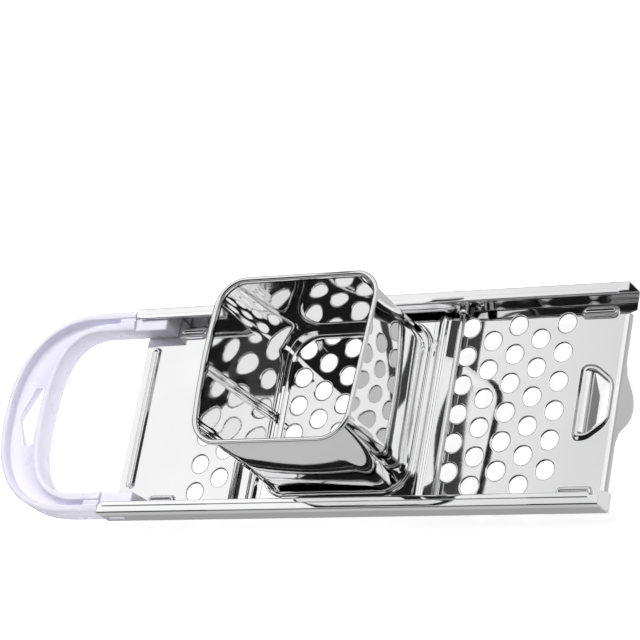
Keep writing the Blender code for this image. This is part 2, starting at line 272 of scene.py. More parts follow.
def prism(bm, outline, low, high, place=upright):
    """Add a closed outline drawn out from low to high; place turns (u, v, w) into a point."""
    bottom = [bm.verts.new(place(u, v, low)) for u, v in outline]
    top = [bm.verts.new(place(u, v, high)) for u, v in outline]
    bm.faces.new(bottom)
    bm.faces.new(top[::-1])
    for i in range(len(outline)):
        j = (i + 1) % len(outline)
        bm.faces.new((bottom[j], bottom[i], top[i], top[j]))
    bmesh.ops.recalc_face_normals(bm, faces=bm.faces)


def block(name, outline, low, high, place=upright):
    bm = bmesh.new()
    prism(bm, outline, low, high, place)
    return new_object(name, bm)


def circle(centre_u, centre_v, radius, sides):
    angles = [2 * math.pi * i / sides for i in range(sides)]
    return [(centre_u + radius * math.cos(a), centre_v + radius * math.sin(a)) for a in angles]


def arc(centre_u, centre_v, radius, start, end, steps=BEND_STEPS):
    """Points on a circle from one angle to another, in degrees."""
    angles = [math.radians(start + (end - start) * i / steps) for i in range(steps + 1)]
    return [(centre_u + radius * math.cos(a), centre_v + radius * math.sin(a)) for a in angles]


def stadium(low_u, high_u, centre_v, radius, steps=12):
    right = arc(high_u - radius, centre_v, radius, -90, 90, steps)
    return right + arc(low_u + radius, centre_v, radius, 90, 270, steps)


def mirrored(half_outline):
    """A closed outline from its upper half."""
    return half_outline + [(u, -v) for u, v in reversed(half_outline)]


def rounded(corners, radius, steps=5):
    """A closed outline with each corner replaced by an arc-like curve."""
    points = []
    count = len(corners)
    longest = 0.45
    for i in range(count):
        corner = Vector(corners[i])
        before = Vector(corners[i - 1]) - corner
        after = Vector(corners[(i + 1) % count]) - corner
        reach = min(radius, longest * before.length, longest * after.length)
        start = corner + before.normalized() * reach
        end = corner + after.normalized() * reach
        for k in range(steps + 1):
            t = k / steps
            point = start * (1 - t) ** 2 + corner * 2 * t * (1 - t) + end * t**2
            points.append((point.x, point.y))
    return points


def smoothstep(value):
    """0 below 0, 1 above 1, and an even S in between."""
    value = min(1.0, max(0.0, value))
    return value * value * (3 - 2 * value)


def even(low, high, steps):
    """Numbers in even steps from low to high."""
    return [low + (high - low) * i / steps for i in range(steps + 1)]


# Finishes

STEEL_TINT = (0.92, 0.92, 0.924)
HOPPER_TINT = (0.92, 0.92, 0.923)
FLAT_TINT = (0.93, 0.93, 0.932)
WIRE_TINT = (0.90, 0.90, 0.905)
MIRROR_ROUGHNESS = 0.035
WIRE_ROUGHNESS = 0.07
CLOUD_SHADE = 0.955
WORN_SHADE = 1.06
# Painted shade: the factor by which faces that look down are darkened
UNDERSIDE_SHADE_FACTOR = 0.22
# Painted shade in the crevice under the hopper's rim: its colour, and the distances over which it fades
# out
CREVICE_SHADE_COLOUR = (0.05, 0.05, 0.055)
CREVICE_SHADE_HALF = (0.0003, 0.0008)
GRAIN_DEPTH = 0.00002
WAVE_DEPTH = 0.0006


class Nodes:
    """Short calls for building a material's node tree."""

    def __init__(self, name):
        self.material = bpy.data.materials.new(name)
        self.material.use_nodes = True
        self.tree = self.material.node_tree
        self.shader = self.tree.nodes["Principled BSDF"]

    def add(self, kind, **settings):
        node = self.tree.nodes.new(kind)
        for key, value in settings.items():
            if key in node.inputs:
                node.inputs[key].default_value = value
            else:
                setattr(node, key, value)
        return node

    def link(self, source, target):
        self.tree.links.new(source, target)

    def noise(self, scale, detail=3.0, stretch=(1.0, 1.0, 1.0)):
        """Noise in object space, drawn out where stretch is under 1."""
        place = self.add("ShaderNodeTexCoord")
        mapping = self.add("ShaderNodeMapping")
        mapping.inputs["Scale"].default_value = stretch
        self.link(place.outputs["Object"], mapping.inputs["Vector"])
        texture = self.add("ShaderNodeTexNoise", Scale=scale, Detail=detail)
        self.link(mapping.outputs["Vector"], texture.inputs["Vector"])
        return texture.outputs["Fac"]

    def ramp(self, source, low, high, low_value=0.0, high_value=1.0):
        """Maps source between low and high onto low_value to high_value."""
        node = self.add("ShaderNodeMapRange", clamp=True)
        node.inputs["From Min"].default_value = low
        node.inputs["From Max"].default_value = high
        node.inputs["To Min"].default_value = low_value
        node.inputs["To Max"].default_value = high_value
        self.link(source, node.inputs["Value"])
        return node.outputs["Result"]

    def calculate(self, operation, first, second=None):
        """Arithmetic on one socket, or on a socket and a second one or a number."""
        node = self.add("ShaderNodeMath", operation=operation)
        self.link(first, node.inputs[0])
        if isinstance(second, float):
            node.inputs[1].default_value = second
        elif second:
            self.link(second, node.inputs[1])
        return node.outputs["Value"]

    def axis(self, kind, output, letter):
        """One axis of a position or a direction."""
        source = self.add(kind)
        split = self.add("ShaderNodeSeparateXYZ")
        self.link(source.outputs[output], split.inputs["Vector"])
        return split.outputs[letter]

    def mix(self, factor, first, second):
        """Colour between first and second, each a fixed colour or a socket, by a factor."""
        node = self.add("ShaderNodeMix", data_type="RGBA")
        colours = [socket for socket in node.inputs if socket.type == "RGBA"]
        for socket, colour in zip(colours, (first, second)):
            if isinstance(colour, tuple):
                socket.default_value = (*colour, 1.0)
            else:
                self.link(colour, socket)
        self.link(factor, node.inputs[0])
        return [socket for socket in node.outputs if socket.type == "RGBA"][0]

    def bump(self, height, strength, distance, before=None):
        """A bumped normal, on top of an earlier one if given."""
        node = self.add("ShaderNodeBump", Strength=strength, Distance=distance)
        self.link(height, node.inputs["Height"])
        if before:
            self.link(before, node.inputs["Normal"])
        return node.outputs["Normal"]

    def edges(self, low, high):
        """0 on flat surface to 1 on convex edges."""
        geometry = self.add("ShaderNodeNewGeometry")
        return self.ramp(geometry.outputs["Pointiness"], low, high)


def shaded(colour, factor):
    return tuple(min(1.0, factor * c) for c in colour)


def polished_steel(name, tint, roughness, grain, wave, worn=True, painted_shade_below=False, shade_line_z=None):
    """Polished stainless: faint rolling grain along X, hand smears, a slight wave and bright worn edges.
    What faces down can be darkened with painted shade, and a thin dark line of painted shade can lie in
    a crevice at one height."""
    made = Nodes(name)
    shader = made.shader
    shader.inputs["Metallic"].default_value = 1.0
    cloudy = made.ramp(made.noise(scale=28.0, detail=4.0), 0.35, 0.7)
    tone = made.mix(cloudy, tint, shaded(tint, CLOUD_SHADE))
    if worn:
        tone = made.mix(made.edges(0.52, 0.60), tone, shaded(tint, WORN_SHADE))
    # Painted shade: the colour darkens where the surface faces down, standing in for the shade beneath
    if painted_shade_below:
        facing_up = made.axis("ShaderNodeNewGeometry", "Normal", "Z")
        below = made.ramp(facing_up, -0.25, 0.30, 1.0, 0.0)
        tone = made.mix(below, tone, shaded(tint, UNDERSIDE_SHADE_FACTOR))
    # Painted shade: a thin dark line at one height, standing in for the shade in the crevice under the
    # hopper's rolled rim
    if shade_line_z is not None:
        z = made.axis("ShaderNodeTexCoord", "Object", "Z")
        away = made.calculate("ABSOLUTE", made.calculate("SUBTRACT", z, shade_line_z))
        tone = made.mix(made.ramp(away, *CREVICE_SHADE_HALF, 1.0, 0.0), tone, CREVICE_SHADE_COLOUR)
    made.link(tone, shader.inputs["Base Color"])
    streak = made.noise(scale=900.0, detail=3.0, stretch=(0.03, 1.0, 1.0))
    smear = made.ramp(made.noise(scale=60.0, detail=5.0), 0.45, 0.75, 0.0, 0.6 * roughness)
    grainy = made.ramp(streak, 0.3, 0.7, 0.8 * roughness, 1.2 * roughness)
    made.link(made.calculate("ADD", grainy, smear), shader.inputs["Roughness"])
    fine = made.bump(streak, grain, GRAIN_DEPTH)
    broad = made.bump(made.noise(scale=16.0, detail=1.0), wave, WAVE_DEPTH, fine)
    made.link(broad, shader.inputs["Normal"])
    return made.material


def sheared_edge(name):
    """The dull grey of a cut or punched edge, streaked across the sheet's thickness."""
    made = Nodes(name)
    shader = made.shader
    shader.inputs["Metallic"].default_value = 1.0
    streak = made.noise(scale=2200.0, detail=2.0, stretch=(1.0, 1.0, 0.1))
    tone = made.mix(made.ramp(streak, 0.35, 0.65), (0.30, 0.30, 0.31), (0.46, 0.46, 0.47))
    made.link(tone, shader.inputs["Base Color"])
    made.link(made.ramp(streak, 0.3, 0.7, 0.32, 0.5), shader.inputs["Roughness"])
    made.link(made.bump(streak, strength=0.3, distance=0.00003), shader.inputs["Normal"])
    return made.material


def lilac_plastic(name):
    """Moulded plastic, nearly white with a lilac cast: flow marks, fine grain and rubbed edges."""
    made = Nodes(name)
    shader = made.shader
    flow = made.ramp(made.noise(scale=24.0, detail=4.0, stretch=(0.5, 1.0, 1.0)), 0.3, 0.7)
    tone = made.mix(flow, (0.835, 0.820, 0.930), (0.810, 0.792, 0.918))
    rubbed = made.mix(made.edges(0.51, 0.58), tone, (0.88, 0.87, 0.94))
    made.link(rubbed, shader.inputs["Base Color"])
    patchy = made.ramp(made.noise(scale=70.0, detail=5.0), 0.35, 0.7, 0.24, 0.36)
    made.link(patchy, shader.inputs["Roughness"])
    grain = made.bump(made.noise(scale=2600.0, detail=2.0), strength=0.12, distance=0.00003)
    broad = made.noise(scale=35.0, detail=1.0)
    sink = made.bump(broad, strength=0.10, distance=0.0003, before=grain)
    made.link(sink, shader.inputs["Normal"])
    shader.inputs["Subsurface Weight"].default_value = 0.12
    shader.inputs["Subsurface Radius"].default_value = (0.004, 0.004, 0.005)
    shader.inputs["Subsurface Scale"].default_value = 0.5
    shader.inputs["Coat Weight"].default_value = 0.15
    shader.inputs["Coat Roughness"].default_value = 0.12
    return made.material


# Perforated sheet

# Slot of the cut-edge grey: on the real cut edges of the holes, and as painted shade on the turned-down
# faces round the hook's opening
EDGE_AND_SHADE_SLOT = 1
FLAT_SLOT = 2
WALL_STEEPNESS = 0.80
HOOK_SHADE_STEEPNESS = 0.85


def hole_centres():
    middle_column = (HOLE_COLUMNS - 1) / 2
    middle_row = (HOLE_ROWS - 1) / 2
    for column in range(HOLE_COLUMNS):
        x = (column - middle_column) * PITCH * math.sqrt(3) / 2
        shift = 0.25 if column % 2 else -0.25
        for row in range(HOLE_ROWS):
            yield x, (row - middle_row + shift) * PITCH


def punched_holes():
    """Each hole's wall, with the sheet dished a little round it as the punch leaves it."""
    bm = bmesh.new()
    levels = []
    for i in range(HOLE_RINGS + 1):
        t = i / HOLE_RINGS
        levels.append((HOLE_ROLL * (1 - t), SHEET - HOLE_DISH * t**2))
    levels += [(0.0, 0.0), (HOLE_ROLL, 0.0)]
    for x, y in hole_centres():
        rings = [at_height(circle(x, y, HOLE_RADIUS + grow, HOLE_SIDES), z) for grow, z in levels]
        grid_surface(bm, rings, closed_u=True)
    bmesh.ops.recalc_face_normals(bm, faces=bm.faces)
    for face in bm.faces:
        if abs(face.normal.z) < WALL_STEEPNESS:
            face.material_index = EDGE_AND_SHADE_SLOT
    return new_object("punched_holes", bm)


def floor_plate():
    """The flat of the sheet between the bends, with every opening cut through it."""
    half = HALF_WIDTH - BEND_RADIUS
    left = FLOOR_LEFT
    right = END_FOLD_X - END_ROLL_RUN
    corner = HALF_WIDTH - END_CORNER_INSET
    notch_outer = END_FOLD_HALF - END_NOTCH_STEP
    notch_inner = END_FOLD_HALF - 2 * END_NOTCH_STEP
    outline = [
        (left, -half),
        (RAIL_RIGHT, -half),
        (RAIL_RIGHT, -corner),
        (right + END_NOTCH_RUN, -notch_outer),
        (right, -notch_inner),
        (right, notch_inner),
        (right + END_NOTCH_RUN, notch_outer),
        (RAIL_RIGHT, corner),
        (RAIL_RIGHT, half),
        (left, half),
    ]
    plate = block("floor_plate", outline, 0.0, SHEET)

    bm = bmesh.new()
    for x, y in hole_centres():
        prism(bm, circle(x, y, HOLE_RADIUS + HOLE_ROLL, HOLE_SIDES), -SHEET, 2 * SHEET)
    cut(plate, new_object("hole_cutter", bm))

    bm = bmesh.new()
    for stop_at in stops():
        prism(bm, stop_at(0.0), -SHEET, 2 * SHEET)
    prism(bm, bead_outline(0.0), -SHEET, 2 * SHEET)
    prism(bm, hook_outline(HOOK_FLARE), -SHEET, 2 * SHEET)
    cut(plate, new_object("pressing_cutter", bm))
    plate.data.polygons.foreach_set("material_index", [FLAT_SLOT] * len(plate.data.polygons))
    return plate


def stops():
    """For each pressed stop, a function from an inset to its outline."""
    for low_x, high_x in STOP_SPANS:
        for side in (-1, 1):
            yield lambda inset, low=low_x, high=high_x, y=side * STOP_CENTRE_Y: stadium(
                low + inset, high - inset, y, STOP_HALF_WIDTH - inset
            )


def hook_outline(grow):
    """The hook's opening with the bend at its long side, grown outwards."""
    left = HOOK_X - HOOK_BEND - HOOK_FLARE_LEFT * grow
    knee = HOOK_X + HOOK_KNEE
    right = HOOK_X + HOOK_LENGTH + HOOK_FLARE_RIGHT * grow
    slope = (HOOK_ROOT_HALF - HOOK_SHORT_HALF) / HOOK_LENGTH
    long_half = HOOK_ROOT_HALF + grow
    short_half = HOOK_SHORT_HALF + grow * slope * HOOK_FLARE_SIDE
    corners = [
        (left, -long_half),
        (knee, -long_half),
        (right, -short_half),
        (right, short_half),
        (knee, long_half),
        (left, long_half),
    ]
    return rounded(corners, HOOK_CORNER + grow, 6)


def bead_outline(inset):
    half = BEAD_HALF_LENGTH - inset
    return [(BEAD_X - v, u) for u, v in stadium(-half, half, 0.0, BEAD_HALF_WIDTH - inset)]


def pressed_ridge(bm, outline_at, half_width, height):
    """A closed outline pressed up from the sheet: rings that climb from its edge to its crest."""
    for level in (SHEET, 0.0):
        rows = []
        for t in even(0.0, 1.0, RIDGE_STEPS):
            dip = RIDGE_DIP * smoothstep((t - RIDGE_DIP_START) / RIDGE_DIP_RUN)
            rise = height * (smoothstep(t / RIDGE_CLIMB) - dip)
            rows.append(at_height(outline_at(half_width * t * RIDGE_TOP_REACH), level + rise))
        verts = grid_surface(bm, rows, closed_u=True)
        bm.faces.new(verts[-1])


def pressings():
    """The four carriage stops and the bead across the left end."""
    bm = bmesh.new()
    for stop_at in stops():
        pressed_ridge(bm, stop_at, STOP_HALF_WIDTH, STOP_HEIGHT)
    pressed_ridge(bm, bead_outline, BEAD_HALF_WIDTH, BEAD_HEIGHT)
    return new_object("pressings", bm)


def hook_edge():
    """The rim of the hook's opening: pushed up a little all round, then turned down. Its steep
    turned-down faces carry the cut-edge grey as painted shade, a dark outline round the opening.
    """
    rows = []
    for t in even(0.0, 1.0, HOOK_RIM_STEPS):
        rise = HOOK_RIM_HEIGHT * smoothstep(t / HOOK_RIM_CREST)
        if t >= HOOK_RIM_CREST:
            rise -= HOOK_RIM_DROP * ((t - HOOK_RIM_CREST) / (1 - HOOK_RIM_CREST)) ** 2
        rows.append(at_height(hook_outline(HOOK_FLARE * (1 - t) ** HOOK_FLARE_POWER), SHEET / 2 + rise))
    edge = thicken(skin("hook_edge", rows), SHEET)
    # Painted shade: the steep faces below the crest take the cut-edge grey, which covers the turned-down
    # faces as well as the cut edge itself and gives the opening a dark outline
    for face in edge.data.polygons:
        if face.center.z < HOOK_RIM_HEIGHT and abs(face.normal.z) < HOOK_SHADE_STEEPNESS:
            face.material_index = EDGE_AND_SHADE_SLOT
    return edge


def tongue():
    """The hook: a trapezoid strip that leaves the sheet in a round bend and hangs square to it."""
    crest = SHEET / 2 + HOOK_RIM_HEIGHT
    profile = [(HOOK_X - HOOK_BEND - TONGUE_LEAD, crest - TONGUE_SEAT)]
    for degrees in even(0.0, 90.0, TONGUE_BEND_STEPS):
        s, c = math.sin(math.radians(degrees)), math.cos(math.radians(degrees))
        profile.append((HOOK_X - HOOK_BEND * (1 - s), crest - HOOK_BEND * (1 - c)))
    bottom = -HOOK_DEPTH + TONGUE_TRIM
    knee = profile[-1][1]
    profile += [(HOOK_X, z) for z in even(knee, bottom, TONGUE_DROP_STEPS)[1:]]
    rows = []
    root_half = HOOK_ROOT_HALF - GAP
    for x, z in profile:
        down = max(0.0, (knee - z) / (knee - bottom))
        half = root_half + (TONGUE_TIP_HALF - root_half) * down
        rows.append([(x, y, z) for y in even(-half, half, TONGUE_COLUMNS)])
    return thicken(strip("tongue", rows), SHEET)


def end_fold():
    """The right end, rolled over and down, with the rounded tab in its middle."""
    start = END_FOLD_X - END_ROLL_RUN
    turn = math.radians(90) - math.atan(END_FOLD_LEAN)
    rows = []
    for y in even(-END_FOLD_HALF, END_FOLD_HALF, END_COLUMNS):
        across = abs(y / END_TAB_HALF)
        depth = END_FOLD_DEPTH
        if across < 1.0:
            depth += (END_TAB_DEPTH - END_FOLD_DEPTH) * (1 - across**2)
        depth += END_SHOULDER * math.exp(-((across - END_SHOULDER_AT) ** 2) / END_SHOULDER_SPREAD)
        row = []
        for angle in even(0.0, turn, END_ROLL_STEPS):
            drop = END_ROLL_RADIUS * (1 - math.cos(angle))
            row.append((start + END_ROLL_RADIUS * math.sin(angle), y, SHEET / 2 - drop))
        x0, _, z0 = row[-1]
        bottom = min(z0 - END_LEAST_DROP, -depth + END_TRIM)
        for z in even(z0, bottom, END_DROP_STEPS)[1:]:
            row.append((x0 + (z0 - z) * END_FOLD_LEAN, y, z))
        rows.append(row)
    return thicken(skin("end_fold", rows, closed_u=False), SHEET)


def rail(side):
    """One C-shaped rail: bend, wall, bend, lip and the hem folded back over the lip."""
    mid = SHEET / 2
    outer = HALF_WIDTH - mid
    top = RAIL_HEIGHT - mid
    radius = BEND_RADIUS - mid
    lip = HALF_WIDTH - LIP_WIDTH
    section = [(HALF_WIDTH - BEND_RADIUS, mid)]
    section += arc(outer - radius, mid + radius, radius, -90, 0)
    section += [(outer, WINDOW_Z - WINDOW_SURROUND), (outer, WINDOW_Z + WINDOW_SURROUND)]
    section += arc(outer - CREST_RADIUS, top - CREST_RADIUS, CREST_RADIUS, 0, 90)
    section += [(lip + LIP_FOLD_REACH, top)]
    stations = even(RAIL_LEFT, RAIL_RIGHT, RAIL_STEPS)
    rows = [[(x, side * y, z) for y, z in section] for x in stations]
    body = thicken(strip("rail_body", rows), SHEET)
    window = stadium(*WINDOW_SPAN, WINDOW_Z, WINDOW_RADIUS)
    through = (side * (outer - CUTTER_REACH), side * (outer + CUTTER_REACH))
    cut(body, block("window_cutter", window, *through, along_y))

    hem_top = RAIL_HEIGHT + HEM_HEIGHT
    hem_end = lip + HEM_WIDTH
    hem_foot = RAIL_HEIGHT - (HEM_HEIGHT / 2 + mid) / 2
    fold = [(lip + LIP_FOLD_REACH, top - mid)]
    fold_z = RAIL_HEIGHT - SHEET + HEM_FOLD_RADIUS
    fold += arc(lip + HEM_FOLD_RADIUS, fold_z, HEM_FOLD_RADIUS, -90, -270, 8)
    fold += [(lip + LIP_TOP_REACH, hem_top), (hem_end - HEM_EDGE_RADIUS, hem_top)]
    fold += arc(hem_end - HEM_EDGE_RADIUS, hem_top - HEM_EDGE_RADIUS, HEM_EDGE_RADIUS, 90, 0, 3)
    fold += [(hem_end, hem_foot), (lip + LIP_FOLD_REACH, hem_foot)]
    stations = even(RAIL_LEFT + HEM_LEFT_INSET, RAIL_RIGHT - HEM_RIGHT_INSET, RAIL_STEPS)
    rows = [[(x, side * y, z) for y, z in fold] for x in stations]
    return [body, skin("hem", rows, capped=True)]


def build_sheet(material, edge_material, flat_material):
    parts = [floor_plate(), punched_holes(), pressings(), hook_edge(), tongue(), end_fold()]
    parts += rail(1) + rail(-1)
    sheet = joined("sheet_with_rails", parts, material, 30)
    sheet.data.materials.append(edge_material)
    sheet.data.materials.append(flat_material)
    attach(sheet, "grater")
    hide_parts("perforated_sheet")


# Grip

GRIP_HALF_OUTER = 0.0490
GRIP_HALF_INNER = 0.0392
GRIP_OUTER_POWER = 2.42
GRIP_INNER_POWER = 2.8
GRIP_ARC_X = -0.1440
GRIP_INNER_END_X = -0.1704
GRIP_WALL = 0.0028
GRIP_CHANNEL_DEPTH = 0.0044
GRIP_CHANNEL_STOP_X = -0.1376
GRIP_CHANNEL_EASE = 0.0030
GRIP_CHANNEL_LEAST = 0.00002
GRIP_CHANNEL_DISH = 0.0018
GRIP_CHANNEL_COVE = 0.0019
GRIP_CHANNEL_FOOT = 0.0008
GRIP_EDGE_RADIUS = 0.0013
GRIP_LIP_RADIUS = 0.0006
GRIP_PINCH_X = -0.168
GRIP_PINCH_RUN = 0.026
GRIP_PINCH_INNER = 0.0012
GRIP_PINCH_OUTER = 0.0008
HANGING_SLOT_RIGHT_X = -0.1768
HANGING_SLOT_CORNER_X = -0.1812
HANGING_SLOT_BEND_X = -0.1868
HANGING_SLOT_HALF = 0.0141
HANGING_SLOT_TIP_HALF = 0.0006
SLOT_WEB = 0.0015
POCKET_MARGIN_RIGHT = 0.0012
POCKET_MARGIN_CORNER = 0.0010
POCKET_MARGIN_BEND = 0.0030
POCKET_MARGIN_SIDE = 0.0030
POCKET_TIP_HALF = 0.0010
RAIL_TONGUE_END_X = -0.1115
RAIL_TONGUE_HEIGHT = 0.0090
RAIL_TONGUE_ROOT = 0.0007
RAIL_TONGUE_LEAN = 0.0016
RAIL_TONGUE_BEVEL = 0.0007
LUG_SINK = 0.0001


def grip_spine(steps=120, arm_steps=14):
    """Pairs of points, outer and inner, from the end of the far arm round the D to the near arm."""
    pairs = []
    for x in even(RAIL_LEFT - GAP, GRIP_ARC_X, arm_steps)[:-1]:
        pairs.append(((x, GRIP_HALF_OUTER), (x, GRIP_HALF_INNER)))
    curves = (
        (GRIP_HALF_OUTER, GRIP_ARC_X - GRIP_LOW[0], GRIP_OUTER_POWER),
        (GRIP_HALF_INNER, GRIP_ARC_X - GRIP_INNER_END_X, GRIP_INNER_POWER),
    )
    for angle in even(0.0, math.pi, steps):
        c, s = math.cos(angle), math.sin(angle)
        pair = []
        for half, reach, power in curves:
            x = GRIP_ARC_X - reach * abs(s) ** (2 / power)
            pair.append((x, half * math.copysign(abs(c) ** (2 / power), c)))
        pairs.append(tuple(pair))
    pairs += [((a[0], -a[1]), (b[0], -b[1])) for a, b in reversed(pairs[:arm_steps])]
    return pairs


def grip_ring(outer, inner, depth):
    """The closed cross-section at one place of the spine, from the inner foot over the top and back."""
    outer = Vector(outer)
    inner = Vector(inner)
    width = (outer - inner).length
    out = (outer - inner).normalized()
    top = GRIP_HIGH[2]
    big = GRIP_EDGE_RADIUS
    small = GRIP_LIP_RADIUS
    pinch = smoothstep((outer.x - GRIP_PINCH_X) / GRIP_PINCH_RUN)
    low = GRIP_WALL + GRIP_PINCH_INNER * pinch
    high = width - GRIP_WALL - GRIP_PINCH_OUTER * pinch
    dip = top - depth
    dish = min(depth, GRIP_CHANNEL_DISH)
    cove = min(GRIP_CHANNEL_COVE, 0.4 * (high - low))
    foot = min(GRIP_CHANNEL_FOOT, 0.25 * (high - low))
    lip_z = top - small * min(1.0, depth / small)
    wall_z = top - 0.5 * depth - small * 0.3
    foot_z = dip + 0.4 * dish
    cove_z = dip + 0.06 * dish
    section = arc(big, big, big, 270, 180, 5)
    section += arc(big, top - big, big, 180, 90, 5)
    section += arc(low - small, lip_z, small, 90, 45, 3)
    section += [(low + 0.5 * foot, wall_z), (low + foot, foot_z), (low + cove, cove_z)]
    section += [(0.5 * (low + high), dip)]
    section += [(high - cove, cove_z), (high - foot, foot_z), (high - 0.5 * foot, wall_z)]
    section += arc(high + small, lip_z, small, 135, 90, 3)
    section += arc(width - big, top - big, big, 90, 0, 5)
    section += arc(width - big, big, big, 0, -90, 5)
    return [(inner.x + out.x * u, inner.y + out.y * u, z) for u, z in section]


def grip_loop():
    """The D with the channel in its top, its hanging slot and the pocket under the slot."""
    rows = []
    for outer, inner in grip_spine():
        depth = GRIP_CHANNEL_DEPTH * smoothstep((GRIP_CHANNEL_STOP_X - outer[0]) / GRIP_CHANNEL_EASE)
        rows.append(grip_ring(outer, inner, max(depth, GRIP_CHANNEL_LEAST)))
    loop = skin("grip_loop", rows, capped=True)
    half_slot = [
        (HANGING_SLOT_RIGHT_X, HANGING_SLOT_HALF),
        (HANGING_SLOT_CORNER_X, HANGING_SLOT_HALF),
        (HANGING_SLOT_BEND_X, HANGING_SLOT_TIP_HALF),
    ]
    slot = rounded(mirrored(half_slot), 0.0010, 5)
    cut(loop, block("slot_cutter", slot, -CUTTER_REACH, GRIP_HIGH[2]))
    pocket_half = HANGING_SLOT_HALF + POCKET_MARGIN_SIDE
    half_pocket = [
        (HANGING_SLOT_RIGHT_X + POCKET_MARGIN_RIGHT, pocket_half),
        (HANGING_SLOT_CORNER_X - POCKET_MARGIN_CORNER, pocket_half),
        (HANGING_SLOT_BEND_X - POCKET_MARGIN_BEND, POCKET_TIP_HALF),
    ]
    pocket = rounded(mirrored(half_pocket), 0.0020, 6)
    web_low = GRIP_HIGH[2] - GRIP_CHANNEL_DEPTH - SLOT_WEB
    return cut(loop, block("pocket_cutter", pocket, -CUTTER_REACH, web_low))


def rail_tongue(side):
    """The tongue in one rail and the lug that snaps into the rail's window."""
    low = SHEET + GAP
    high = low + RAIL_TONGUE_HEIGHT
    root_x = RAIL_LEFT - GAP - RAIL_TONGUE_ROOT
    tip_x = RAIL_TONGUE_END_X
    outline = [(root_x, low), (tip_x, low), (tip_x - RAIL_TONGUE_LEAN, high), (root_x, high)]
    span = sorted((side * GRIP_HALF_INNER, side * (HALF_WIDTH - SHEET - GAP)))
    bar = block("rail_tongue", outline, *span, along_y)
    modifier = bar.modifiers.new("soft_edges", "BEVEL")
    modifier.width = RAIL_TONGUE_BEVEL
    modifier.segments = 4
    lug = stadium(WINDOW_SPAN[0] + GAP, WINDOW_SPAN[1] - GAP, WINDOW_Z, WINDOW_RADIUS - GAP)
    span = sorted((side * (HALF_WIDTH - 3 * SHEET), side * (HALF_WIDTH - LUG_SINK)))
    return [baked(bar), block("snap_lug", lug, *span, along_y)]


def build_grip(material):
    pieces = [grip_loop()] + rail_tongue(-1) + rail_tongue(1)
    grip = joined("moulded_grip", pieces, material, 40)
    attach(grip, "grater")
    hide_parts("grip")


# Carriage

HOPPER_TOP_HALF_X = 0.0372
HOPPER_TOP_HALF_Y = 0.0366
HOPPER_FOOT_HALF_X = 0.0362
HOPPER_FOOT_HALF_Y = 0.0390
HOPPER_TOP_SHIFT_X = 0.0015
HOPPER_TOP_CORNER = 0.0108
HOPPER_CORNER = 0.0125
RIM_SKEW = 0.0022
RIM_BOW = 0.0022
RIM_RADIUS = 0.0012
HOPPER_WALL = 0.0006
WALL_BULGE = 0.0005
FRONT_WALL_BULGE = 0.0010
LAP_SEAM_Y = -0.0025
LAP_SEAM_HALF = 0.0026
LAP_SEAM_SINK = 0.0002
LAP_SEAM_RISE = 0.0009
LAP_SEAM_FOOT = 0.0005
LAP_SEAM_TOP = 0.0004
WALL_ROWS = 28
RIM_STEPS = 16
# From the middle of the lap to its edge, and its rise: a shallow groove, then a rounded edge
SEAM_HALF = (
    (0.0, 0.60),
    (0.08, 0.70),
    (0.20, 0.95),
    (0.45, 1.05),
    (0.70, 0.98),
    (0.88, 0.80),
    (0.97, 0.45),
    (1.0, 0.0),
)
SEAM_SECTION = [(-u, v) for u, v in SEAM_HALF[:0:-1]] + list(SEAM_HALF)

FRAME_THICKNESS = 0.0005
FRAME_FLOOR_LIFT = 0.00025
FLANGE_REACH_Y = 0.0419
FLANGE_COLUMNS = 40
# From the ledge to the end of the flange: distance from the middle, and rise
FLANGE_PROFILE = (
    (0.0368, 0.0),
    (0.0390, 0.0),
    (0.0396, 0.0004),
    (0.0402, 0.0010),
    (0.0408, 0.00132),
    (0.0417, 0.0014),
    (0.0422, 0.0013),
    (0.0428, 0.0009),
    (0.0434, 0.0005),
    (0.0440, 0.0001),
    (0.0446, 0.0),
    (ROD_OFFSET + 0.0005, 0.0),
)
LEDGE_HALF_X = 0.0370
LEDGE_HALF_Y = 0.0415
LEDGE_CORNER = 0.0002
OPENING_HALF_X = 0.0322
OPENING_HALF_Y = 0.0345
OPENING_CORNER = 0.0135
OPENING_BEAD_STEPS = 12
OPENING_BEAD_WIDTH = 0.0022
OPENING_BEAD_INSET = 0.00005
OPENING_BEAD_RISE = 0.0007
OPENING_BEAD_CORNER = 0.0126
SIDE_WALL_HALF_LENGTH = 0.0456
SIDE_WALL_INNER_Y = 0.0405
SIDE_WALL_INSET = 0.0013
SIDE_WALL_BEND = 0.0010
SIDE_WALL_BEND_TOP = 0.003
SIDE_WALL_EASE = 0.0050
SIDE_WALL_LEAST = 0.12
SIDE_WALL_COLUMNS = 48
# The collar round the hopper's foot, from its outer edge up: growth of the outline, and rise
FOOT_COLLAR_PROFILE = (
    (0.0006, -0.0001),
    (0.0002, 0.0002),
    (0.0, 0.0008),
    (0.0, 0.0016),
    (-0.0002, 0.0019),
    (-0.0005, 0.0019),
)
FOOT_COLLAR_CORNER = 0.0008
ROD_RADIUS = 0.00125
ROD_BEVEL = 0.0003
SLEEVE_RADIUS = 0.0021
SLEEVE_BORE = 0.00155
SLEEVE_BEVEL = 0.0004


